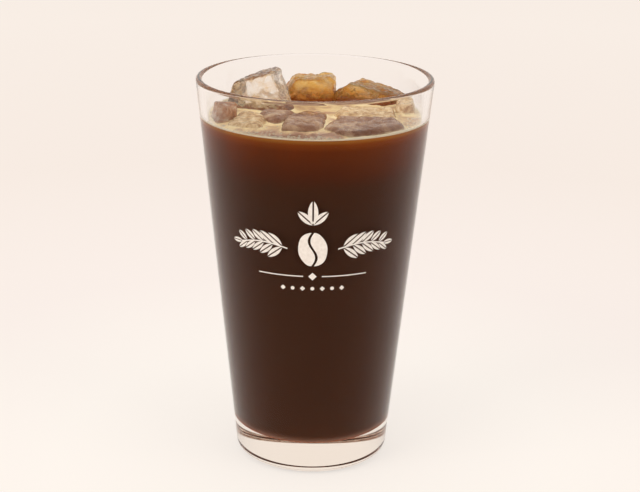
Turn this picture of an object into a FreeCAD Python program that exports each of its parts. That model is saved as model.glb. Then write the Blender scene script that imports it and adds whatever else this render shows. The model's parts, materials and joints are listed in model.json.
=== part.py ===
"""A straight-sided pint glass of iced coffee: the glass, the coffee in it, the thin
crema on the coffee, and the lumps of ice that stand out of it.

Millimetres, +Z up. The origin is on the table, on the glass's axis. -Y is the front.
"""

import FreeCAD
import Part

import math
import os
from collections import namedtuple

Vector = FreeCAD.Vector
UP = Vector(0, 0, 1)

# ---- The glass ----
GLASS_HEIGHT = 149.2
RIM_RADIUS = 44.5           # outside, where the wall's line meets the top
FOOT_RADIUS = 29.25         # outside, where the wall's line meets the table
RIM_WALL = 2.4              # wall thickness at the rim
FLOOR_WALL = 4.0            # wall thickness at the floor of the cavity
FLOOR_THICKNESS = 12.0      # solid glass under the coffee
FLOOR_CORNER = 6.5          # radius between the cavity's floor and wall
RIM_ROUNDING = 1.15         # radius of the rim's two edges
RIM_FLAT = 0.05             # least flat left between them, to the middle of the wall
HEEL_RADIUS = 4.0           # outside edge at the table
STAND_RING_WIDTH = 3.2      # flat ring that touches the table
PUNT_DEPTH = 1.0            # hollow under the base
PUNT_LIP = 2.5              # run of the slope between the stand ring and the punt
PUNT_CORNER = 0.8           # radius where that slope meets the punt

# ---- The drink ----
HEADROOM = 13.6             # free wall from the crema up to the rim
CREMA_THICKNESS = 1.0

# ---- The ice ----
ICE_WALL_GAP = 0.8          # from a lump to the inside of the glass
ICE_GAP = 1.0               # between two lumps
ICE_EDGE = 1.1              # how far melting has rounded a lump's edges
ICE_CUTS = 24               # flats that a lump next to the wall may melt into
DEEPEST_ICE = 30.0          # no lump reaches further than this under the crema
ROUNDING_TOLERANCE = 1e-4   # how exactly the rounded faces meet

# Each lump of ice.
#   place: its middle, as shares of the room's radius at the crema (right, back)
#   top: how far it stands above the crema
#   size: width, depth and height of the block that it melted from
#   turn, nod, lean: degrees about the upright, left-right and front-back axes
#   chips: corners and edges that broke off, each as a direction from the block's
#     middle and how deep the break goes in from the block's furthest point that way
Lump = namedtuple("Lump", "place top size turn nod lean chips")
LUMPS = {
    "ice_tall": Lump(
        (-0.48, 0.18), 15.4, (23.0, 15.0, 28.0), -27.0, 5.0, -19.0,
        (((-0.5, 0.0, 1.0), 3.4), ((-1.0, 0.2, 0.9), 7.0), ((1.0, 1.0, 0.0), 4.0)),
    ),
    "ice_left": Lump(
        (-0.82, -0.33), 6.0, (8.0, 10.0, 16.0), 20.0, 4.0, 8.0,
        (((-1.0, -0.6, 0.6), 2.5),),
    ),
    "ice_left_low": Lump(
        (-0.57, -0.42), 2.8, (12.0, 23.0, 15.0), -8.0, 3.0, -6.0,
        (((-0.3, -1.0, 0.8), 3.5), ((1.0, 0.0, 0.6), 1.5)),
    ),
    "ice_middle": Lump(
        (-0.39, -0.30), 1.3, (10.5, 21.0, 14.0), -16.0, -2.0, 2.0,
        (((-1.0, -0.6, 0.0), 3.0),),
    ),
    "ice_front": Lump(
        (-0.09, -0.44), 1.5, (13.0, 28.0, 15.0), -4.0, -2.0, 3.0,
        (((1.0, -0.5, 0.4), 3.0), ((-0.8, 1.0, 0.0), 3.0)),
    ),
    "ice_right_slab": Lump(
        (0.44, -0.62), 1.2, (26.0, 26.0, 16.0), -4.0, 1.0, -1.0,
        (((-1.0, -1.0, 0.0), 6.0), ((1.0, 0.3, 0.4), 3.0)),
    ),
    "ice_right_bar": Lump(
        (0.50, -0.13), 2.4, (25.0, 11.0, 14.0), 5.0, 8.0, 1.0,
        (((1.0, 0.0, 0.7), 3.0), ((-1.0, 0.6, 0.3), 3.0)),
    ),
    "ice_right": Lump(
        (0.88, 0.08), 3.6, (7.0, 13.0, 14.0), -6.0, 3.0, -8.0,
        (((0.0, -1.0, 0.8), 2.5),),
    ),
    "ice_back": Lump(
        (-0.035, 0.57), 8.8, (18.5, 16.0, 23.0), 4.0, -3.0, -1.5,
        (((-1.0, 0.0, 0.9), 2.6), ((0.3, -1.0, 1.0), 2.2), ((-0.6, -1.0, 0.0), 2.5)),
    ),
    "ice_back_right": Lump(
        (0.50, 0.52), 7.4, (27.0, 17.0, 20.0), -22.0, -4.0, 11.0,
        (((-1.0, 0.0, 1.0), 5.0), ((1.0, -1.0, 0.2), 4.0)),
    ),
}

# ---- Worked out from the sizes above ----
SURFACE_HEIGHT = GLASS_HEIGHT - HEADROOM
COFFEE_HEIGHT = SURFACE_HEIGHT - CREMA_THICKNESS
BEYOND = 4 * (RIM_RADIUS + GLASS_HEIGHT)    # larger than the whole glass


def wall_radius(height):
    """The outside of the glass wall at a height."""
    return FOOT_RADIUS + (RIM_RADIUS - FOOT_RADIUS) * height / GLASS_HEIGHT


def cavity_radius(height):
    """The inside of the glass wall at a height."""
    low = wall_radius(FLOOR_THICKNESS) - FLOOR_WALL
    high = RIM_RADIUS - RIM_WALL
    share = (height - FLOOR_THICKNESS) / (GLASS_HEIGHT - FLOOR_THICKNESS)
    return low + (high - low) * share


def point(radius, height):
    return Vector(radius, 0, height)


def corner_arc(corner, before, after, radius):
    """The arc that rounds a corner between two points: its start, middle and end."""
    to_before = (before - corner).normalize()
    to_after = (after - corner).normalize()
    half = to_before.getAngle(to_after) / 2
    run = radius / math.tan(half)
    bisector = (to_before + to_after).normalize()
    centre = corner + bisector * (radius / math.sin(half))
    return corner + to_before * run, centre - bisector * radius, corner + to_after * run


def lathe(points, arcs):
    """Turns a closed outline about the axis. arcs maps a point's number to the radius
    that rounds it."""
    ends = []
    for i, corner in enumerate(points):
        if i in arcs:
            before, after = points[i - 1], points[(i + 1) % len(points)]
            ends.append(corner_arc(corner, before, after, arcs[i]))
        else:
            ends.append((corner, None, corner))
    edges = []
    for i, (start, middle, end) in enumerate(ends):
        if middle is not None:
            edges.append(Part.Arc(start, middle, end).toShape())
        following = ends[(i + 1) % len(ends)][0]
        edges.append(Part.LineSegment(end, following).toShape())
    face = Part.Face(Part.Wire(edges))
    return face.revolve(Vector(0, 0, 0), UP, 360)


def make_glass():
    """One lathe-turned solid: tapered wall, rounded rim, thick base and punt."""
    ring_out = FOOT_RADIUS - HEEL_RADIUS
    ring_in = ring_out - STAND_RING_WIDTH
    outline = [
        point(0, PUNT_DEPTH),
        point(ring_in - PUNT_LIP, PUNT_DEPTH),
        point(ring_in, 0),
        point(FOOT_RADIUS, 0),
        point(RIM_RADIUS, GLASS_HEIGHT),
        point(RIM_RADIUS - RIM_WALL, GLASS_HEIGHT),
        point(cavity_radius(FLOOR_THICKNESS), FLOOR_THICKNESS),
        point(0, FLOOR_THICKNESS),
    ]
    rim = min(RIM_ROUNDING, RIM_WALL / 2 - RIM_FLAT)
    arcs = {1: PUNT_CORNER, 3: HEEL_RADIUS, 4: rim, 5: rim, 6: FLOOR_CORNER}
    return lathe(outline, arcs)


def make_drink():
    """The inside of the glass, filled up to the top of the crema."""
    outline = [
        point(0, FLOOR_THICKNESS),
        point(cavity_radius(FLOOR_THICKNESS), FLOOR_THICKNESS),
        point(cavity_radius(SURFACE_HEIGHT), SURFACE_HEIGHT),
        point(0, SURFACE_HEIGHT),
    ]
    return lathe(outline, {1: FLOOR_CORNER})


def half_space(on_plane, outward):
    """All that lies beyond a plane, as one large block."""
    corner = Vector(-BEYOND / 2, -BEYOND / 2, 0)
    block = Part.makeBox(BEYOND, BEYOND, BEYOND, corner)
    block.Placement = FreeCAD.Placement(on_plane, FreeCAD.Rotation(UP, outward))
    return block


def cut_off(core, on_plane, outward):
    """Takes from a lump's core what its rounded edge would carry past a plane."""
    inner = on_plane - Vector(outward).normalize() * ICE_EDGE
    return core.cut(half_space(inner, outward))


def make_block(lump):
    """The core of the block that a lump melted from, about the origin: all that lies
    deeper than its rounded edges, with its chips broken off."""
    half = Vector(*lump.size) * 0.5
    core = half - Vector(1, 1, 1) * ICE_EDGE
    block = Part.makeBox(2 * core.x, 2 * core.y, 2 * core.z, -core)
    for way, break_depth in lump.chips:
        outward = Vector(*way).normalize()
        reach = abs(outward.x) * half.x + abs(outward.y) * half.y + abs(outward.z) * half.z
        block = cut_off(block, outward * (reach - break_depth), outward)
    return block


def lump_centre(lump):
    reach = cavity_radius(SURFACE_HEIGHT) - ICE_WALL_GAP
    right, back = lump.place
    return Vector(right * reach, back * reach, SURFACE_HEIGHT)


def wall_planes():
    """Flat cuts, all round the inside of the wall, that keep the ice off the glass."""
    deep = SURFACE_HEIGHT - DEEPEST_ICE
    flat_share = math.cos(math.pi / ICE_CUTS)
    low = (cavity_radius(deep) - ICE_WALL_GAP) * flat_share
    high = (cavity_radius(GLASS_HEIGHT) - ICE_WALL_GAP) * flat_share
    taper = (high - low) / (GLASS_HEIGHT - deep)
    for i in range(ICE_CUTS):
        angle = 2 * math.pi * i / ICE_CUTS
        outward = Vector(math.cos(angle), math.sin(angle), -taper)
        foot = Vector(low * math.cos(angle), low * math.sin(angle), deep)
        yield foot, outward


def neighbour_planes(name):
    """Upright cuts half way to each other lump, weighted by how wide the two are."""
    lump = LUMPS[name]
    centre = lump_centre(lump)
    for other_name, other in LUMPS.items():
        if other_name == name:
            continue
        way = lump_centre(other) - centre
        across, other_across = lump.size[0] + lump.size[1], other.size[0] + other.size[1]
        share = across / (across + other_across)
        yield centre + way * share - Vector(way).normalize() * (ICE_GAP / 2), way


def make_lump(name):
    """One lump, in its place, clear of the glass and of its neighbours, and melted."""
    lump = LUMPS[name]
    core = make_block(lump)
    turned = FreeCAD.Rotation(lump.turn, lump.lean, lump.nod)
    core.Placement = FreeCAD.Placement(lump_centre(lump), turned)
    core.translate(UP * (SURFACE_HEIGHT + lump.top - ICE_EDGE - core.BoundBox.ZMax))
    for on_plane, outward in list(wall_planes()) + list(neighbour_planes(name)):
        core = cut_off(core, on_plane, outward)
    return core.Solids[0].makeOffsetShape(ICE_EDGE, ROUNDING_TOLERANCE, join=0)


def main():
    os.makedirs("parts", exist_ok=True)
    nodes = {name: make_lump(name) for name in LUMPS}
    ice = list(nodes.values())
    drink = make_drink()
    above_coffee = half_space(Vector(0, 0, COFFEE_HEIGHT), UP)
    nodes["coffee"] = drink.cut([above_coffee] + ice)
    nodes["crema"] = drink.common(above_coffee).cut(ice)
    nodes["glass"] = make_glass()
    for name, shape in nodes.items():
        solids = shape.Solids
        print(f"{name}: {len(solids)} solid, {shape.Volume / 1000:.2f} ml")
        assert shape.isValid() and len(solids) == 1, name
        solids[0].exportStep(f"parts/{name}.step")


main()
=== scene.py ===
"""Looks of a pint glass of iced coffee: the glass, the drink, its foam, its ice and a printed ornament.

Everything is in metres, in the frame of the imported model. The glass stands on z = 0, its axis is
the z axis, and its printed front looks along -Y.
"""

import json
import math
from random import Random

import bmesh
import bpy
from mathutils import Matrix, Vector, noise
from mathutils.bvhtree import BVHTree

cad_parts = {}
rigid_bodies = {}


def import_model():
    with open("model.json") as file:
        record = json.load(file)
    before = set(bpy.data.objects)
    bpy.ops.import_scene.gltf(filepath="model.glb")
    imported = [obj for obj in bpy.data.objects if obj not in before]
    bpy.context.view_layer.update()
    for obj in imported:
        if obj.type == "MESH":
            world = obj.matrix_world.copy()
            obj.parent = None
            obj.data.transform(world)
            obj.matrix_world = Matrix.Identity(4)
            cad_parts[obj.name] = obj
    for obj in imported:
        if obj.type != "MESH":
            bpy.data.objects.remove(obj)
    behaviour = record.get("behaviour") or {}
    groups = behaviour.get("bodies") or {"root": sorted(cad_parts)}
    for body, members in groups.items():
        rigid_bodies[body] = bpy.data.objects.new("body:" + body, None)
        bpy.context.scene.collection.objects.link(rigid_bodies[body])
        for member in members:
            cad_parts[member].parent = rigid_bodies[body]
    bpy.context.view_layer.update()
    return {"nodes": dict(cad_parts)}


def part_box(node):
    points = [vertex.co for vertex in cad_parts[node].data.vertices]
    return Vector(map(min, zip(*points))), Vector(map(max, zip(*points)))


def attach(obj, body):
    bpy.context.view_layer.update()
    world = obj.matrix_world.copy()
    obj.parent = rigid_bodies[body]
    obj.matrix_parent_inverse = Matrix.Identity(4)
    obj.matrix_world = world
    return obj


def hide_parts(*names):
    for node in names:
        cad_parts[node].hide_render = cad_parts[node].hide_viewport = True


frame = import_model()
MM = 0.001

# The glass, the drink and the foam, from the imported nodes
GLASS_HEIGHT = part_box("glass")[1].z
FLOOR_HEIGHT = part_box("coffee")[0].z
SURFACE_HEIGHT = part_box("crema")[1].z

# What the boxes of the nodes don't give
FOOT_RADIUS = 29.25 * MM
RIM_RADIUS = 44.5 * MM
RIM_WALL = 2.4 * MM
FLOOR_WALL = 4.0 * MM
FLOOR_CORNER = 6.5 * MM
RIM_ROUNDING = 1.15 * MM
HEEL_RADIUS = 4.0 * MM
STAND_RING_WIDTH = 3.2 * MM
PUNT_DEPTH = 1.0 * MM
PUNT_LIP = 2.5 * MM
PUNT_CORNER = 0.8 * MM

# How the pieces of the drink meet the wall and each other
REACH_INTO_WALL = 0.15 * MM
REACH_INTO_ICE = 0.4 * MM
ICE_WALL_GAP = 0.5 * MM
FOAM_THICKNESS = 0.25 * MM
FOAM_LEVEL = SURFACE_HEIGHT - 0.4 * MM
FOAM_RING_STEP = 0.5 * MM
CLIMB_ON_ICE = 1.0 * MM
CLIMB_ON_WALL = 0.15 * MM
CLIMB_WIDTH = 1.1 * MM
WALL_LINE_WIDTH = 0.6 * MM
BUBBLE_COUNT = 420

# The ornament, measured along the wall from its middle
PRINT_MIDDLE = 94.0 * MM
INK_GAP = 0.02 * MM
INK_THICKNESS = 0.03 * MM
INK_SLICE = 1.5 * MM
INK_GRAIN = 10 / 9 * MM

# How finely shapes are made, and how near two points are the same one
TURN_STEPS = 180
ROUNDING_STEPS = 12
ICE_VOXEL = 0.4 * MM
CUTTER_VOXEL = 0.9 * MM
ON_AXIS = 1e-9
SAME_POINT = 1e-7
SAME_CORNER = 1e-6

# The ice: the size of its swellings, and how far coffee and foam reach on its sides
SWELLING_SIZE = 3.0 * MM
FOOT_REACH = 8 * MM
FOAM_TOP = SURFACE_HEIGHT - 0.3 * MM
FOAM_FULL = SURFACE_HEIGHT - 1.2 * MM
FOAM_UNEVENNESS = 2.0 * MM
# The side whose slopes get the painted dark streak of refraction
STREAK_SIDE = (-0.62, -0.1, 0.78)

# The soft boxes, metres and watts, and the camera
LAMP_SIZE = 0.8
KEY_LAMP = (-0.9, -0.7, 0.9)
KEY_POWER = 6.0
FILL_LAMP = (0.9, -0.6, 0.8)
FILL_POWER = 3.0
CAMERA_PLACE = (2.58 * MM, -567.466 * MM, 267.598 * MM)
CAMERA_PITCH = 18.041
CAMERA_ROLL = 0.75
CAMERA_LENS = 87.23

# Each kind of lump: its nodes, then how many rounds smooth it, how far it swells and where from
ICE_KINDS = {
    "clear_ice": (("ice_tall",), 2, 1.1 * MM, 0.35),
    "coffee_stained_ice": (("ice_left",), 2, 1.1 * MM, 0.35),
    "frosted_ice": (("ice_left_low", "ice_right_bar", "ice_right"), 14, 1.4 * MM, 0.35),
    "coffee_washed_reflecting_ice": (("ice_middle", "ice_front", "ice_right_slab"), 60, 1.1 * MM, -0.6),
    "backlit_coffee_soaked_ice": (("ice_back", "ice_back_right"), 8, 1.7 * MM, 0.35),
}


def wall_radius(height):
    """The outside of the glass at a height."""
    return FOOT_RADIUS + (RIM_RADIUS - FOOT_RADIUS) * height / GLASS_HEIGHT


def cavity_radius(height):
    """The inside of the glass at a height."""
    low = wall_radius(FLOOR_HEIGHT) - FLOOR_WALL
    high = RIM_RADIUS - RIM_WALL
    return low + (high - low) * (height - FLOOR_HEIGHT) / (GLASS_HEIGHT - FLOOR_HEIGHT)


# ---------------------------------------------------------------- nodes and colours


def colour(code):
    """An sRGB hex colour as the linear RGBA that a socket takes."""
    shares = [int(code[i : i + 2], 16) / 255 for i in (1, 3, 5)]
    return [s / 12.92 if s <= 0.04045 else ((s + 0.055) / 1.055) ** 2.4 for s in shares] + [1.0]


def add(tree, kind, inputs=None, **settings):
    """A new node of a tree, with its settings made, and its inputs set or linked."""
    node = tree.nodes.new(kind)
    for name, value in settings.items():
        setattr(node, name, value)
    for name, value in (inputs or {}).items():
        if isinstance(value, bpy.types.NodeSocket):
            tree.links.new(value, node.inputs[name])
        else:
            node.inputs[name].default_value = value
    return node


def new_material(name):
    """An empty material with its output: (material, tree, output)."""
    material = bpy.data.materials.new(name)
    material.use_nodes = True
    material.node_tree.nodes.clear()
    output = add(material.node_tree, "ShaderNodeOutputMaterial")
    return material, material.node_tree, output


def ramp(tree, factor, stops):
    """A colour ramp through (position, hex colour) stops."""
    node = add(tree, "ShaderNodeValToRGB", {"Fac": factor})
    elements = node.color_ramp.elements
    while len(elements) < len(stops):
        elements.new(0.5)
    for element, (position, code) in zip(elements, stops):
        element.position = position
        element.color = colour(code)
    return node.outputs["Color"]


# ---------------------------------------------------------------- shapes


def new_object(name, mesh, material, smooth=True):
    """An object at the origin from a bmesh, which is freed."""
    data = bpy.data.meshes.new(name)
    mesh.to_mesh(data)
    mesh.free()
    thing = bpy.data.objects.new(name, data)
    bpy.context.scene.collection.objects.link(thing)
    for face in data.polygons:
        face.use_smooth = smooth
    data.materials.append(material)
    return thing


def lathe(corners):
    """A closed turned solid from (radius, height, rounding) corners that start and end on the axis."""
    mesh = bmesh.new()
    points = [mesh.verts.new((radius, 0, height)) for radius, height, _ in corners]
    mesh.faces.new(points)
    for point, (_, _, rounding) in zip(points, corners):
        if rounding:
            sides = [(edge.other_vert(point).co - point.co).normalized() for edge in point.link_edges]
            reach = rounding / math.tan(sides[0].angle(sides[1]) / 2)
            bmesh.ops.bevel(
                mesh,
                geom=[point],
                offset=reach,
                affect="VERTICES",
                segments=ROUNDING_STEPS,
                profile=0.5,
                material=-1,
            )
    bmesh.ops.delete(mesh, geom=mesh.faces[:], context="FACES_ONLY")
    axis = [edge for edge in mesh.edges if all(vert.co.x < ON_AXIS for vert in edge.verts)]
    bmesh.ops.delete(mesh, geom=axis, context="EDGES")
    bmesh.ops.spin(
        mesh,
        geom=mesh.verts[:] + mesh.edges[:],
        cent=(0, 0, 0),
        axis=(0, 0, 1),
        angle=math.tau,
        steps=TURN_STEPS,
        use_merge=True,
    )
    bmesh.ops.remove_doubles(mesh, verts=mesh.verts[:], dist=SAME_POINT)
    bmesh.ops.recalc_face_normals(mesh, faces=mesh.faces[:])
    return mesh


def merged_node(name):
    """The mesh of a CAD node as a bmesh with its loose triangles joined."""
    mesh = bmesh.new()
    mesh.from_mesh(frame["nodes"][name].data)
    bmesh.ops.remove_doubles(mesh, verts=mesh.verts[:], dist=SAME_CORNER)
    return mesh


def even_shading(thing):
    """Turns the corner normals towards the large faces, so that a straight wall is shaded as straight."""
    even = thing.modifiers.new("even_shading", "WEIGHTED_NORMAL")
    even.mode = "FACE_AREA"
    even.weight = 50


def finished_mesh(thing):
    """The mesh of a thing with its modifiers applied."""
    graph = bpy.context.evaluated_depsgraph_get()
    return bpy.data.meshes.new_from_object(thing.evaluated_get(graph))


def cut_out(thing, cutters):
    """Takes the shapes of a collection away from a thing, for good."""
    cut = thing.modifiers.new("cut", "BOOLEAN")
    cut.operation = "DIFFERENCE"
    cut.operand_type = "COLLECTION"
    cut.solver = "EXACT"
    cut.collection = cutters
    made = finished_mesh(thing)
    thing.modifiers.remove(cut)
    thing.data = made


# ---------------------------------------------------------------- glass


def clear_glass():
    """Soda-lime glass, pressed and fire polished: clear, and faintly warm where it is thick.

    It mirrors at its edges only: the black tint takes away what it would mirror head on.
    """
    material, tree, output = new_material("soda_lime_glass")
    shader = add(
        tree,
        "ShaderNodeBsdfPrincipled",
        {
            "Base Color": colour("#FFFFFF"),
            "Roughness": 0.0,
            "IOR": 1.5,
            "Transmission Weight": 1.0,
            "Specular Tint": colour("#000000"),
        },
    )
    body = add(tree, "ShaderNodeVolumeAbsorption", {"Color": colour("#F4EDE4"), "Density": 14.0})
    tree.links.new(shader.outputs["BSDF"], output.inputs["Surface"])
    tree.links.new(body.outputs["Volume"], output.inputs["Volume"])
    return material


def make_glass():
    """The pint glass, turned in one piece from its inner punt to its inner floor."""
    ring = FOOT_RADIUS - HEEL_RADIUS - STAND_RING_WIDTH
    corners = (
        (0, PUNT_DEPTH, 0),
        (ring - PUNT_LIP, PUNT_DEPTH, PUNT_CORNER),
        (ring, 0, 0),
        (FOOT_RADIUS, 0, HEEL_RADIUS),
        (RIM_RADIUS, GLASS_HEIGHT, RIM_ROUNDING),
        (RIM_RADIUS - RIM_WALL, GLASS_HEIGHT, RIM_ROUNDING),
        (cavity_radius(FLOOR_HEIGHT), FLOOR_HEIGHT, FLOOR_CORNER),
        (0, FLOOR_HEIGHT, 0),
    )
    glass = new_object("pint_glass", lathe(corners), clear_glass())
    even_shading(glass)
    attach(glass, "root")
    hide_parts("glass")


# ---------------------------------------------------------------- drink


def black_coffee():
    """Brewed coffee: dark brown, with a painted amber glow of light close under its surface.

    The sheen stands in for the light that comes through where the drink is thin, at its sides.
    """
    material, tree, output = new_material("brewed_coffee")
    place = add(tree, "ShaderNodeTexCoord").outputs["Object"]
    height = add(tree, "ShaderNodeSeparateXYZ", {"Vector": place}).outputs["Z"]
    # Painted light: the colour glows amber towards the surface, a painted glow of the light that comes in at
    # the top.
    lit_depth = 30 * MM
    glow_share = add(
        tree,
        "ShaderNodeMapRange",
        {"Value": height, "From Min": SURFACE_HEIGHT - lit_depth, "From Max": SURFACE_HEIGHT},
    ).outputs["Result"]
    shade = ramp(
        tree,
        glow_share,
        [
            (0.0, "#674A3A"),
            (0.35, "#6D4936"),
            (0.52, "#7C462F"),
            (0.7, "#8A4A2C"),
            (0.83, "#964D28"),
            (0.92, "#BE642E"),
            (0.945, "#DD8E3F"),
            (0.97, "#EDA251"),
        ],
    )
    shader = add(
        tree,
        "ShaderNodeBsdfPrincipled",
        {
            "Base Color": shade,
            "Roughness": 0.0,
            "IOR": 1.33,
            "Transmission Weight": 0.5,
            # The colours carry a painted lift for the head-on reflection that this black tint leaves out.
            "Specular Tint": colour("#000000"),
            "Sheen Weight": 1.0,
            "Sheen Roughness": 0.5,
            "Sheen Tint": colour("#E88450"),
        },
    )
    body = add(
        tree,
        "ShaderNodeVolumeAbsorption",
        {"Color": colour("#E1AB45"), "Density": 160.0},
    )
    tree.links.new(shader.outputs["BSDF"], output.inputs["Surface"])
    tree.links.new(body.outputs["Volume"], output.inputs["Volume"])
    return material


def make_coffee(cutters):
    """The drink, which fills the glass to just inside its wall, with the ice cut out of it."""
    top = FOAM_LEVEL - FOAM_THICKNESS
    corners = (
        (0, FLOOR_HEIGHT - REACH_INTO_WALL, 0),
        (cavity_radius(FLOOR_HEIGHT) + REACH_INTO_WALL, FLOOR_HEIGHT - REACH_INTO_WALL, FLOOR_CORNER),
        (cavity_radius(top) + REACH_INTO_WALL, top, 0),
        (0, top, 0),
    )
    coffee = new_object("coffee_drink", lathe(corners), black_coffee())
    cut_out(coffee, cutters)
    for face in coffee.data.polygons:
        face.use_smooth = face.normal.z < 0.9
    even_shading(coffee)
    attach(coffee, "root")
    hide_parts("coffee")


# ---------------------------------------------------------------- foam


def coffee_foam():
    """Thin coffee foam: brown where it is a thin layer, pale where fine bubbles gather against ice and glass.
    """
    material, tree, output = new_material("coffee_foam")
    place = add(tree, "ShaderNodeTexCoord").outputs["Object"]
    on_ice = add(tree, "ShaderNodeAttribute", attribute_name="on_ice").outputs["Fac"]
    on_wall = add(tree, "ShaderNodeAttribute", attribute_name="on_wall").outputs["Fac"]
    paler_by_ice, paler_by_wall, browner_in_front = 0.22, 0.8, 0.2
    front_start, front_end = -24 * MM, -34 * MM
    patches = add(
        tree,
        "ShaderNodeTexNoise",
        {"Vector": place, "Scale": 1 / (9 * MM), "Detail": 6.0, "Roughness": 0.62, "Distortion": 1.2},
    ).outputs["Fac"]
    cells = add(tree, "ShaderNodeTexVoronoi", {"Vector": place, "Scale": 1 / (0.8 * MM)})
    amount = add(
        tree,
        "ShaderNodeMath",
        {0: on_ice, 1: paler_by_ice, 2: patches},
        operation="MULTIPLY_ADD",
    ).outputs["Value"]
    amount = add(
        tree,
        "ShaderNodeMath",
        {0: on_wall, 1: paler_by_wall, 2: amount},
        operation="MULTIPLY_ADD",
    ).outputs["Value"]
    to_front = add(tree, "ShaderNodeSeparateXYZ", {"Vector": place}).outputs["Y"]
    thinned = add(
        tree,
        "ShaderNodeMapRange",
        {"Value": to_front, "From Min": front_start, "From Max": front_end, "To Max": browner_in_front},
    ).outputs["Result"]
    amount = add(tree, "ShaderNodeMath", {0: amount, 1: thinned}, operation="SUBTRACT").outputs["Value"]
    shade = ramp(
        tree,
        amount,
        [(0.2, "#8E6850"), (0.36, "#B8907A"), (0.52, "#E0C49A"), (0.66, "#F8E4B4"), (1.0, "#FFF6DC")],
    )
    relief = add(
        tree,
        "ShaderNodeBump",
        {"Height": cells.outputs["Distance"], "Strength": 0.4, "Distance": 0.25 * MM},
    ).outputs["Normal"]
    shader = add(
        tree,
        "ShaderNodeBsdfPrincipled",
        {"Base Color": shade, "Roughness": 0.3, "IOR": 1.33, "Normal": relief},
    )
    tree.links.new(shader.outputs["BSDF"], output.inputs["Surface"])
    return material


def nearest_ice(cutters):
    """A tree that finds the nearest point of the ice."""
    ice = bmesh.new()
    for cutter in cutters.objects:
        ice.from_mesh(cutter.data)
    tree = BVHTree.FromBMesh(ice)
    ice.free()
    return tree


def make_foam(cutters):
    """The thin foam on the drink, which climbs where it touches the ice and a little on the wall."""
    low = FOAM_LEVEL - FOAM_THICKNESS - REACH_INTO_WALL
    edge = cavity_radius(FOAM_LEVEL) + REACH_INTO_WALL
    rings = int(edge / FOAM_RING_STEP)
    top = [(edge - edge * ring / rings, FOAM_LEVEL, 0) for ring in range(rings + 1)]
    foam = new_object("coffee_foam", lathe([(0, low, 0), (edge, low, 0)] + top), coffee_foam())
    cut_out(foam, cutters)
    ice = nearest_ice(cutters)
    on_ice = foam.data.attributes.new("on_ice", "FLOAT", "POINT")
    on_wall = foam.data.attributes.new("on_wall", "FLOAT", "POINT")
    for vert, by_ice, by_wall in zip(foam.data.vertices, on_ice.data, on_wall.data):
        to_ice = max(ice.find_nearest(vert.co)[3] - REACH_INTO_ICE, 0)
        to_wall = edge - math.hypot(vert.co.x, vert.co.y)
        by_ice.value = math.exp(-to_ice / CLIMB_WIDTH)
        by_wall.value = math.exp(-to_wall / WALL_LINE_WIDTH)
        if vert.co.z > FOAM_LEVEL - 0.01 * MM:
            uneven = 0.7 + 0.5 * noise.noise(vert.co / (5 * MM))
            vert.co.z += CLIMB_ON_ICE * uneven * by_ice.value**1.5 * (1 - by_wall.value)
            vert.co.z += CLIMB_ON_WALL * by_wall.value
    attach(foam, "root")
    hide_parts("crema")


def foam_bubble():
    """A soap-thin bubble in the foam: clear, with a bright wet rim."""
    material, tree, output = new_material("foam_bubble")
    shader = add(
        tree,
        "ShaderNodeBsdfPrincipled",
        {
            "Base Color": colour("#FFF2DA"),
            "Roughness": 0.05,
            "IOR": 1.33,
            "Transmission Weight": 0.4,
        },
    )
    tree.links.new(shader.outputs["BSDF"], output.inputs["Surface"])
    return material


def make_bubbles(cutters):
    """Small bubbles along the wall and between the lumps, thickest at the printed front."""
    ice = nearest_ice(cutters)
    chance = Random(7)
    mesh = bmesh.new()
    edge = cavity_radius(FOAM_LEVEL)
    made = 0
    while made < BUBBLE_COUNT:
        size = chance.uniform(0.2, 0.6) * MM
        from_wall = size + chance.expovariate(1 / (3 * MM))
        angle = chance.gauss(-math.pi / 2, 1.3)
        radius = edge - from_wall
        if radius < 0:
            continue
        spot = Vector((radius * math.cos(angle), radius * math.sin(angle), FOAM_LEVEL))
        if ice.find_nearest(spot)[3] < REACH_INTO_ICE + size:
            continue
        place = Matrix.Translation(spot) @ Matrix.Diagonal((size, size, size * 0.7, 1))
        bmesh.ops.create_icosphere(mesh, subdivisions=2, radius=1, matrix=place)
        made += 1
    bubbles = new_object("foam_bubbles", mesh, foam_bubble())
    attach(bubbles, "root")


# ---------------------------------------------------------------- ice


def shaded_over(tree, shade, code, factor):
    """A shade with another one laid over it as far as the factor says."""
    inputs = {"Factor": factor, "A": shade, "B": colour(code)}
    return add(tree, "ShaderNodeMix", inputs, data_type="RGBA").outputs["Result"]


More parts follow.
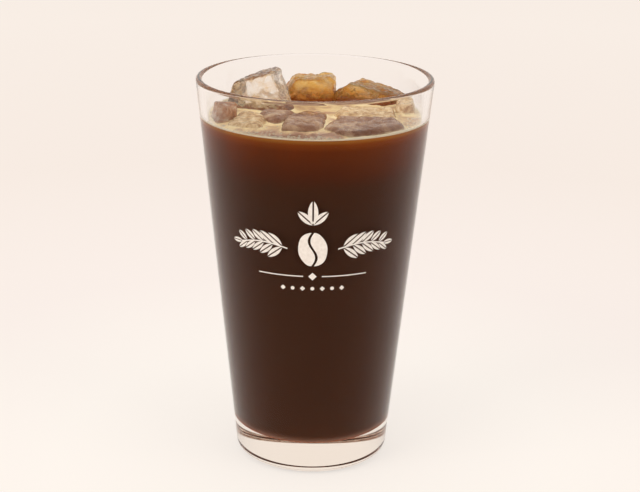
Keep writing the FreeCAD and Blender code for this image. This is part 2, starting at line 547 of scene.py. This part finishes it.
def frozen_water(name, shades, clearness, grain, dent, foot=None, refraction_streak=None, gloss=0.3):
    """Frozen water, partly melted: a wet, dented surface over a body that is part clear, part cloudy.

    The shades run from the cloudiest spots to the clearest. The foot is the shade that the lump takes
    towards the drink, and the refraction streak is painted shade: brown streaks on the slopes that face up
    and to the left, for the dark line that refraction draws along a thin edge.
    Foam clings to every lump at the waterline.
    """
    material, tree, output = new_material(name)
    coordinates = add(tree, "ShaderNodeTexCoord")
    place = coordinates.outputs["Object"]
    height = add(tree, "ShaderNodeSeparateXYZ", {"Vector": place}).outputs["Z"]
    clouds = add(
        tree,
        "ShaderNodeTexNoise",
        {"Vector": place, "Scale": 1 / grain, "Detail": 8.0, "Roughness": 0.72, "Distortion": 0.5},
    ).outputs["Fac"]
    shade = ramp(tree, clouds, [(0.36 + 0.26 * k / (len(shades) - 1), code) for k, code in enumerate(shades)])
    if foot:
        span = {"Value": height, "From Min": SURFACE_HEIGHT + FOOT_REACH, "From Max": SURFACE_HEIGHT}
        wet = add(tree, "ShaderNodeMapRange", span).outputs["Result"]
        shade = shaded_over(tree, shade, foot, wet)
    # Painted shade: brown on the slopes facing up and to the left, for the dark line refraction draws at a
    # thin edge.
    if refraction_streak:
        slope = add(
            tree,
            "ShaderNodeVectorMath",
            {0: coordinates.outputs["Normal"], 1: STREAK_SIDE},
            operation="DOT_PRODUCT",
        ).outputs["Value"]
        streaked = add(
            tree,
            "ShaderNodeMath",
            {0: clouds, 1: -0.9, 2: slope},
            operation="MULTIPLY_ADD",
        ).outputs["Value"]
        span = {"Value": streaked, "From Min": 0.3, "From Max": 0.52}
        coat = add(tree, "ShaderNodeMapRange", span).outputs["Result"]
        shade = shaded_over(tree, shade, refraction_streak, coat)
    uneven = add(
        tree,
        "ShaderNodeMath",
        {0: clouds, 1: -FOAM_UNEVENNESS, 2: height},
        operation="MULTIPLY_ADD",
    ).outputs["Value"]
    span = {"Value": uneven, "From Min": FOAM_TOP, "From Max": FOAM_FULL}
    clinging = add(tree, "ShaderNodeMapRange", span).outputs["Result"]
    shade = shaded_over(tree, shade, "#F8E4BC", clinging)
    dents = add(
        tree, "ShaderNodeTexNoise", {"Vector": place, "Scale": 1 / dent, "Detail": 5.0, "Roughness": 0.65}
    ).outputs["Fac"]
    relief = add(
        tree, "ShaderNodeBump", {"Height": dents, "Strength": 0.8, "Distance": 0.5 * MM}
    ).outputs["Normal"]
    shader = add(
        tree,
        "ShaderNodeBsdfPrincipled",
        {
            "Base Color": shade,
            "Roughness": 0.08,
            "IOR": 1.31,
            "Specular IOR Level": gloss,
            "Transmission Weight": clearness,
            "Normal": relief,
        },
    )
    tree.links.new(shader.outputs["BSDF"], output.inputs["Surface"])
    return material


def melt(lump, rounds, swelling, middle):
    """Rounds a lump's edges and makes its faces uneven, for good, with its sides clear of the wall."""
    texture = bpy.data.textures.new(lump.name + "_swelling", "CLOUDS")
    texture.noise_scale = SWELLING_SIZE
    even = lump.modifiers.new("even", "REMESH")
    even.mode = "VOXEL"
    even.voxel_size = ICE_VOXEL
    even.use_smooth_shade = True
    rounded = lump.modifiers.new("rounded", "SMOOTH")
    rounded.iterations = rounds
    uneven = lump.modifiers.new("uneven", "DISPLACE")
    uneven.texture = texture
    uneven.texture_coords = "LOCAL"
    uneven.strength = swelling
    uneven.mid_level = middle
    melted = finished_mesh(lump)
    for vert in melted.vertices:
        room = (cavity_radius(vert.co.z) - ICE_WALL_GAP) / math.hypot(vert.co.x, vert.co.y)
        if room < 1:
            vert.co.x *= room
            vert.co.y *= room
    lump.modifiers.clear()
    lump.data = melted


def make_ice():
    """A melted, uneven lump in the place of each CAD lump, and the finish of each kind of lump."""
    finishes = (
        frozen_water(
            "clear_ice",
            ("#F0D0A4", "#FFF8EE", "#FFFFFF"),
            clearness=0.87,
            grain=5.0 * MM,
            dent=4.0 * MM,
            # Painted shade along the thin top-left ridge
            refraction_streak="#84501F",
        ),
        frozen_water(
            "coffee_stained_ice",
            ("#94582C", "#CC9468", "#FFF0DC"),
            clearness=0.55,
            grain=4.0 * MM,
            dent=3.0 * MM,
        ),
        frozen_water(
            "frosted_ice", ("#AC8058", "#E2C296", "#FFEAC4"), clearness=0.15, grain=3.5 * MM, dent=2.5 * MM
        ),
        # Coffee over the lump, with a painted reflection: the mauve shades mix the room's pale reflection
        # into the brown.
        frozen_water(
            "coffee_washed_reflecting_ice",
            ("#8C5E48", "#AC8268", "#DCBA9A"),
            clearness=0.3,
            grain=8.0 * MM,
            dent=6.0 * MM,
        ),
        # Coffee tint with a painted golden glow: the bright shades stand in for light that comes through the
        # drink from behind.
        frozen_water(
            "backlit_coffee_soaked_ice",
            ("#E8A040", "#FFD474", "#FFF2C0"),
            clearness=0.75,
            grain=5.0 * MM,
            dent=3.5 * MM,
            foot="#B05E20",
            gloss=0.1,
        ),
    )
    lumps = []
    for finish in finishes:
        nodes, rounds, swelling, middle = ICE_KINDS[finish.name]
        for name in nodes:
            lump = new_object(name + "_lump", merged_node(name), finish)
            melt(lump, rounds, swelling, middle)
            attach(lump, "root")
            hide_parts(name)
            lumps.append(lump)
    return lumps


def make_cutters(lumps):
    """A coarser and slightly smaller copy of each lump, which cuts its place out of the drink."""
    cutters = bpy.data.collections.new("cutters")
    for lump in lumps:
        cutter = bpy.data.objects.new(lump.name + "_cutter", lump.data)
        bpy.context.scene.collection.objects.link(cutter)
        coarse = cutter.modifiers.new("coarse", "REMESH")
        coarse.mode = "VOXEL"
        coarse.voxel_size = CUTTER_VOXEL
        smaller = cutter.modifiers.new("smaller", "DISPLACE")
        smaller.strength = -REACH_INTO_ICE
        smaller.mid_level = 0.0
        made = finished_mesh(cutter)
        bpy.data.objects.remove(cutter)
        cutters.objects.link(bpy.data.objects.new(lump.name + "_cutter", made))
    return cutters


# ---------------------------------------------------------------- print


def white_print():
    """Ceramic ink, screen printed and fired on: satin white with a slightly uneven coat."""
    material, tree, output = new_material("ceramic_ink")
    place = add(tree, "ShaderNodeTexCoord").outputs["Object"]
    coat = add(
        tree, "ShaderNodeTexNoise", {"Vector": place, "Scale": 1 / INK_GRAIN, "Detail": 2.0}
    ).outputs["Fac"]
    shade = ramp(tree, coat, [(0.3, "#E2DCD6"), (0.7, "#F0EBE6")])
    shader = add(
        tree,
        "ShaderNodeBsdfPrincipled",
        {"Base Color": shade, "Roughness": 0.45, "IOR": 1.5},
    )
    tree.links.new(shader.outputs["BSDF"], output.inputs["Surface"])
    return material


def place_flat(mesh, shape, right, up, turn=0.0, flip=False):
    """Adds a flat shape to a flat mesh, turned in degrees and moved in millimetres, and frees it."""
    if flip:
        bmesh.ops.scale(shape, verts=shape.verts[:], vec=(-1, 1, 1))
    move = Matrix.Translation((right, up, 0)) @ Matrix.Rotation(math.radians(turn), 4, "Z")
    bmesh.ops.transform(shape, matrix=move, verts=shape.verts[:])
    data = bpy.data.meshes.new("flat")
    shape.to_mesh(data)
    shape.free()
    mesh.from_mesh(data)
    bpy.data.meshes.remove(data)


def bow(length, rise):
    """The piece of a disc over a chord: half a leaf. The chord lies on the x axis from the origin."""
    radius = (length**2 / 4 + rise**2) / (2 * rise)
    shape = bmesh.new()
    bmesh.ops.create_circle(shape, cap_ends=True, radius=radius, segments=160)
    bmesh.ops.translate(shape, verts=shape.verts[:], vec=(length / 2, rise - radius, 0))
    everything = shape.verts[:] + shape.edges[:] + shape.faces[:]
    bmesh.ops.bisect_plane(
        shape, geom=everything, dist=1e-5, plane_co=(0, 0, 0), plane_no=(0, 1, 0), clear_inner=True
    )
    return shape


def add_leaf(mesh, length, right, up, turn):
    """A leaf of two halves with its midrib left open between them."""
    rib = 0.035 * length
    for side in (1, -1):
        half = bow(length, 0.17 * length)
        bmesh.ops.translate(half, verts=half.verts[:], vec=(0, rib, 0))
        bmesh.ops.scale(half, verts=half.verts[:], vec=(1, side, 1))
        place_flat(mesh, half, right, up, turn)


def add_bean(mesh, length, width, right, up, turn):
    """A coffee bean of two halves with its wavy crease left open between them."""
    crease = 0.05 * width
    for side in (1, -1):
        half = bmesh.new()
        bmesh.ops.create_circle(half, cap_ends=True, radius=1, segments=96)
        everything = half.verts[:] + half.edges[:] + half.faces[:]
        bmesh.ops.bisect_plane(
            half, geom=everything, dist=1e-5, plane_co=(0, 0, 0), plane_no=(0, side, 0), clear_inner=True
        )
        middle = [edge for edge in half.edges if all(abs(vert.co.y) < 1e-4 for vert in edge.verts)]
        bmesh.ops.subdivide_edges(half, edges=middle, cuts=24)
        bmesh.ops.scale(half, verts=half.verts[:], vec=(length / 2, width / 2, 1))
        for vert in half.verts:
            inward = 1 - abs(vert.co.y) / (width / 2)
            vert.co.y += inward * 0.14 * width * math.sin(math.tau * vert.co.x / length) + side * crease
        place_flat(mesh, half, right, up, turn)


def bar(length, thickness, bend=0.0):
    """A thin rule along the x axis from the origin, bent up in its middle."""
    shape = bmesh.new()
    bmesh.ops.create_grid(shape, x_segments=24, y_segments=1, size=0.5)
    bmesh.ops.scale(shape, verts=shape.verts[:], vec=(length, thickness, 1))
    bmesh.ops.translate(shape, verts=shape.verts[:], vec=(length / 2, 0, 0))
    for vert in shape.verts:
        vert.co.y += bend * math.sin(math.pi * vert.co.x / length)
    return shape


def add_spot(mesh, sides, radius, right, up):
    """A dot, or a diamond where it has four sides."""
    shape = bmesh.new()
    bmesh.ops.create_circle(shape, cap_ends=True, radius=radius, segments=sides)
    place_flat(mesh, shape, right, up)


def draw_ornament():
    """A bean between two leafy branches under a small sprout, over a rule and a row of spots, in mm."""
    flat = bmesh.new()
    add_bean(flat, 13.0, 9.6, 0, 0, 90)
    stem_start, stem_length, stem_bow = 9.2, 19.0, 1.6
    first_pair, pair_step, leaf_lean, leaf_offset = 2.2, 3.6, 38, 0.35
    for side in (1, -1):
        stem = bar(stem_length, 0.5, bend=stem_bow)
        place_flat(flat, stem, side * stem_start, 0, flip=side < 0)
        for pair in range(5):
            along = first_pair + pair_step * pair
            rise = stem_bow * math.sin(math.pi * along / stem_length)
            length = 6.8 - 0.5 * pair
            for lean in (leaf_lean, -leaf_lean):
                turn = lean if side > 0 else 180 - lean
                start = rise + math.copysign(leaf_offset, lean)
                add_leaf(flat, length, side * (stem_start + along), start, turn)
        add_leaf(flat, 4.6, side * 28.0, 0, 0 if side > 0 else 180)
    sprout_height = 9.6
    for turn, length in ((90, 9.0), (138, 7.2), (42, 7.2)):
        add_leaf(flat, length, 0, sprout_height, turn)
    rule_height, spot_height, spot_step = -10.6, -15.4, 3.6
    for side in (1, -1):
        rule = bar(17.0, 0.4)
        place_flat(flat, rule, side * 3.4, rule_height, flip=side < 0)
    add_spot(flat, 4, 1.5, 0, rule_height)
    for step in range(-3, 4):
        sides, radius = (4, 0.95) if step % 2 else (24, 0.7)
        add_spot(flat, sides, radius, step * spot_step, spot_height)
    return flat


def make_print():
    """The ornament, sliced upright so that it can bend, given its thickness and laid on the wall."""
    flat = draw_ornament()
    bmesh.ops.scale(flat, verts=flat.verts[:], vec=(MM, MM, MM))
    reach = max(abs(vert.co.x) for vert in flat.verts)
    slices = int(reach / INK_SLICE)
    for cut in range(-slices, slices + 1):
        everything = flat.verts[:] + flat.edges[:] + flat.faces[:]
        bmesh.ops.bisect_plane(
            flat, geom=everything, dist=1e-8, plane_co=(cut * INK_SLICE, 0, 0), plane_no=(1, 0, 0)
        )
    grown = bmesh.ops.extrude_face_region(flat, geom=flat.faces[:])
    lifted = [item for item in grown["geom"] if isinstance(item, bmesh.types.BMVert)]
    bmesh.ops.translate(flat, verts=lifted, vec=(0, 0, INK_THICKNESS))
    for vert in flat.verts:
        right, up, out = vert.co
        height = PRINT_MIDDLE + up
        radius = wall_radius(height)
        angle = right / radius
        radius += out + INK_GAP
        vert.co = (radius * math.sin(angle), -radius * math.cos(angle), height)
    bmesh.ops.recalc_face_normals(flat, faces=flat.faces[:])
    ink = new_object("printed_ornament", flat, white_print(), smooth=False)
    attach(ink, "root")


# ---------------------------------------------------------------- stage, light and camera


def path_share(tree, path, share):
    """The share that applies to what the camera sees, straight, through glass or in gloss."""
    straight = add(
        tree,
        "ShaderNodeMath",
        {0: path.outputs["Is Camera Ray"], 1: path.outputs["Is Transmission Ray"]},
        operation="MAXIMUM",
    ).outputs["Value"]
    seen = add(
        tree,
        "ShaderNodeMath",
        {0: straight, 1: path.outputs["Is Glossy Ray"]},
        operation="MAXIMUM",
    ).outputs["Value"]
    return add(tree, "ShaderNodeMath", {0: seen, 1: share}, operation="MULTIPLY").outputs["Value"]


def make_stage():
    """A plain pale floor that fades into the world behind it, with painted light that is brightest close to
    the glass.
    """
    material, tree, output = new_material("pale_floor")
    path = add(tree, "ShaderNodeLightPath")
    place = add(tree, "ShaderNodeTexCoord").outputs["Object"]
    away = add(tree, "ShaderNodeVectorMath", {0: place}, operation="LENGTH").outputs["Value"]
    # Painted light: lightest near the glass, over its shadow, darkest about 0.45 m away, a little lighter
    # again further off.
    shade = ramp(
        tree,
        add(tree, "ShaderNodeMapRange", {"Value": away, "From Min": 0.1, "From Max": 1.0}).outputs["Result"],
        [(0.0, "#FFF9F3"), (0.12, "#FBF2ED"), (0.38, "#F9EFE8"), (1.0, "#FDF4ED")],
    )
    paper = add(tree, "ShaderNodeBsdfDiffuse", {"Color": shade})
    glow = add(tree, "ShaderNodeEmission", {"Color": shade, "Strength": 1.0})
    mixed = add(tree, "ShaderNodeMixShader", {"Fac": path_share(tree, path, 0.68)})
    tree.links.new(paper.outputs["BSDF"], mixed.inputs[1])
    tree.links.new(glow.outputs["Emission"], mixed.inputs[2])
    tree.links.new(mixed.outputs["Shader"], output.inputs["Surface"])
    mesh = bmesh.new()
    bmesh.ops.create_circle(mesh, cap_ends=True, radius=4.0, segments=96)
    floor = new_object("floor", mesh, material, smooth=False)
    floor.location.z = -0.05 * MM


def make_world():
    """Soft white light from all round, seen as a pale backdrop, also through the glass and in its gloss."""
    world = bpy.data.worlds.new("soft_studio")
    bpy.context.scene.world = world
    world.use_nodes = True
    tree = world.node_tree
    tree.nodes.clear()
    path = add(tree, "ShaderNodeLightPath")
    light = add(tree, "ShaderNodeBackground", {"Color": colour("#FFF8F0"), "Strength": 0.8})
    backdrop = add(tree, "ShaderNodeBackground", {"Color": colour("#FAF0E7"), "Strength": 1.0})
    seen = add(tree, "ShaderNodeMixShader", {"Fac": path_share(tree, path, 1.0)})
    tree.links.new(light.outputs["Background"], seen.inputs[1])
    tree.links.new(backdrop.outputs["Background"], seen.inputs[2])
    output = add(tree, "ShaderNodeOutputWorld")
    tree.links.new(seen.outputs["Shader"], output.inputs["Surface"])


def make_lamp(name, place, power):
    """A square soft box that looks at the middle of the glass and isn't itself seen through it."""
    lamp = bpy.data.lights.new(name, "AREA")
    lamp.shape = "SQUARE"
    lamp.size = LAMP_SIZE
    lamp.energy = power
    lamp.color = colour("#FFF6EC")[:3]
    holder = bpy.data.objects.new(name, lamp)
    holder.location = place
    holder.visible_transmission = False
    aim = Vector((0, 0, GLASS_HEIGHT / 2)) - Vector(place)
    holder.rotation_euler = aim.to_track_quat("-Z", "Y").to_euler()
    bpy.context.scene.collection.objects.link(holder)


def make_camera():
    """A long lens a little above the rim, looking down into the glass."""
    pitch, roll = math.radians(CAMERA_PITCH), math.radians(CAMERA_ROLL)
    lens = bpy.data.cameras.new("camera")
    lens.lens = CAMERA_LENS
    lens.sensor_width = 36.0
    camera = bpy.data.objects.new("camera", lens)
    look = Matrix.Rotation(math.pi / 2 - pitch, 4, "X") @ Matrix.Rotation(roll, 4, "Z")
    camera.matrix_world = Matrix.Translation(CAMERA_PLACE) @ look
    bpy.context.scene.collection.objects.link(camera)
    bpy.context.scene.camera = camera


def main():
    make_camera()
    make_stage()
    make_world()
    make_lamp("key_lamp", KEY_LAMP, KEY_POWER)
    make_lamp("fill_lamp", FILL_LAMP, FILL_POWER)
    bpy.context.scene.view_settings.view_transform = "Standard"
    light_paths = bpy.context.scene.cycles
    light_paths.max_bounces = 24
    light_paths.glossy_bounces = 16
    light_paths.transmission_bounces = 24
    make_glass()
    cutters = make_cutters(make_ice())
    make_coffee(cutters)
    make_foam(cutters)
    make_bubbles(cutters)
    for cutter in list(cutters.objects):
        bpy.data.objects.remove(cutter)
    bpy.data.collections.remove(cutters)
    make_print()


main()
